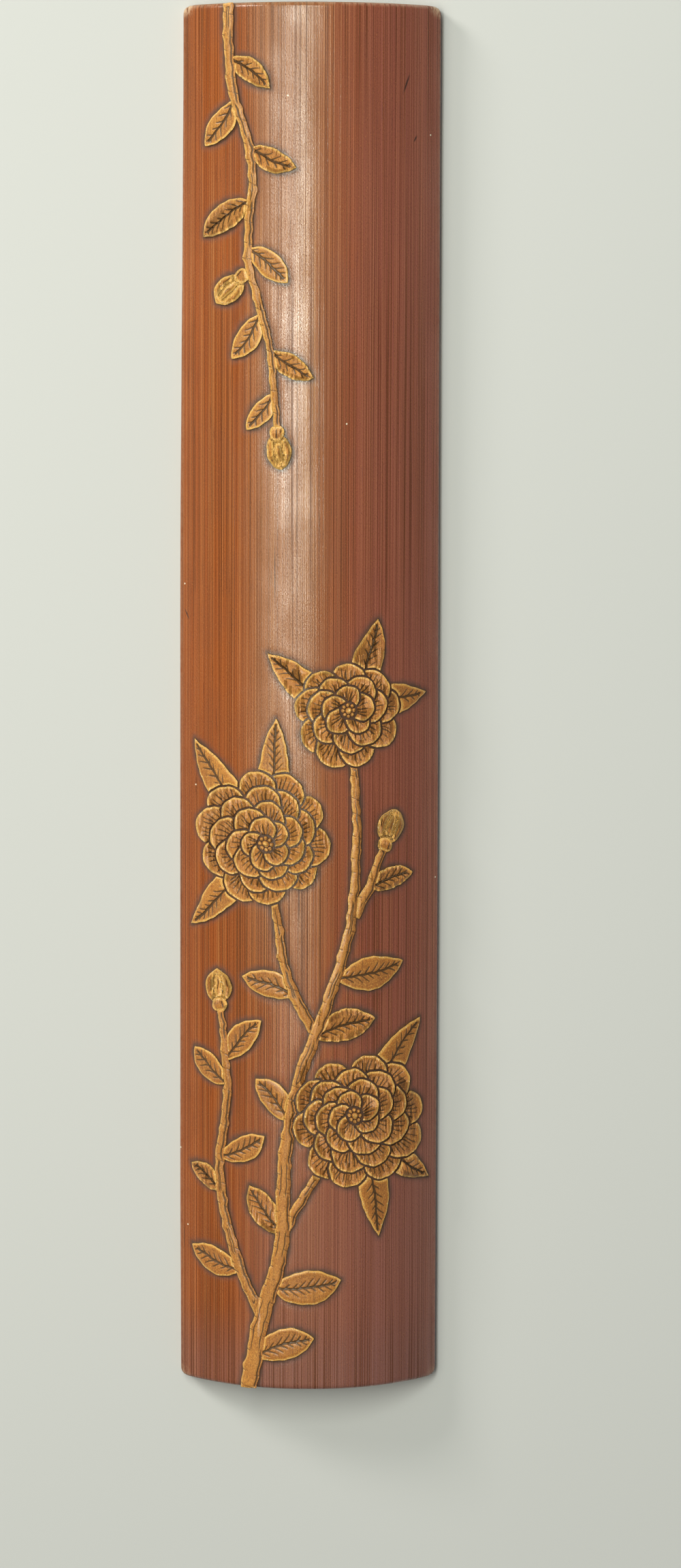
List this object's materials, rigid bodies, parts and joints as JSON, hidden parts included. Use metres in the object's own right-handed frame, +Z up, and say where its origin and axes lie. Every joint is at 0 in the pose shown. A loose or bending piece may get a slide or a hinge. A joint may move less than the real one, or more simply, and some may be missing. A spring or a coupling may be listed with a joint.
{
  "type": "wrist rest",
  "caption": "Arched split of bamboo that lies on its long edges, with a flowering spray standing in its golden skin over a brown fibrous ground; a rest for the writing wrist.",
  "frame": {"origin": "on the desk, under the middle of the rest", "axes": "+X across the rest, +Y along the culm from the foot of the spray to its head, +Z up"},
  "size_m": [0.0564, 0.3, 0.0172],
  "materials": {
    "skin": "polished bamboo skin",
    "ground": "satin fibrous bamboo",
    "lining": "matt bamboo pith"
  },
  "bodies": {
    "root": {"bud_branch": "skin", "bud_branch_bud_1": "skin", "bud_branch_leaf_1": "skin", "culm_wall": "ground", "hanging_twig": "skin", "hanging_twig_bud_1": "skin", "hanging_twig_bud_2": "skin", "hanging_twig_leaf_1": "skin", "hanging_twig_leaf_2": "skin", "hanging_twig_leaf_3": "skin", "hanging_twig_leaf_4": "skin", "hanging_twig_leaf_5": "skin", "hanging_twig_leaf_6": "skin", "hanging_twig_leaf_7": "skin", "hanging_twig_leaf_8": "skin", "left_bloom_inner_petals": "skin", "left_bloom_leaf_1": "skin", "left_bloom_leaf_2": "skin", "left_bloom_leaf_3": "skin", "left_bloom_outer_petals": "skin", "left_bloom_second_petals": "skin", "left_bloom_stamens": "skin", "left_bloom_third_petals": "skin", "left_branch": "skin", "left_branch_leaf_1": "skin", "main_stem": "skin", "main_stem_leaf_1": "skin", "main_stem_leaf_2": "skin", "main_stem_leaf_3": "skin", "main_stem_leaf_4": "skin", "main_stem_leaf_5": "skin", "main_stem_leaf_6": "skin", "pith_lining": "lining", "right_bloom_inner_petals": "skin", "right_bloom_leaf_1": "skin", "right_bloom_leaf_2": "skin", "right_bloom_leaf_3": "skin", "right_bloom_outer_petals": "skin", "right_bloom_second_petals": "skin", "right_bloom_stamens": "skin", "right_bloom_third_petals": "skin", "right_branch": "skin", "side_stem": "skin", "side_stem_bud_1": "skin", "side_stem_leaf_1": "skin", "side_stem_leaf_2": "skin", "side_stem_leaf_3": "skin", "side_stem_leaf_4": "skin", "side_stem_leaf_5": "skin", "top_bloom_inner_petals": "skin", "top_bloom_leaf_1": "skin", "top_bloom_leaf_2": "skin", "top_bloom_leaf_3": "skin", "top_bloom_second_petals": "skin", "top_bloom_stamens": "skin", "top_bloom_third_petals": "skin"}
  },
  "joints": []
}
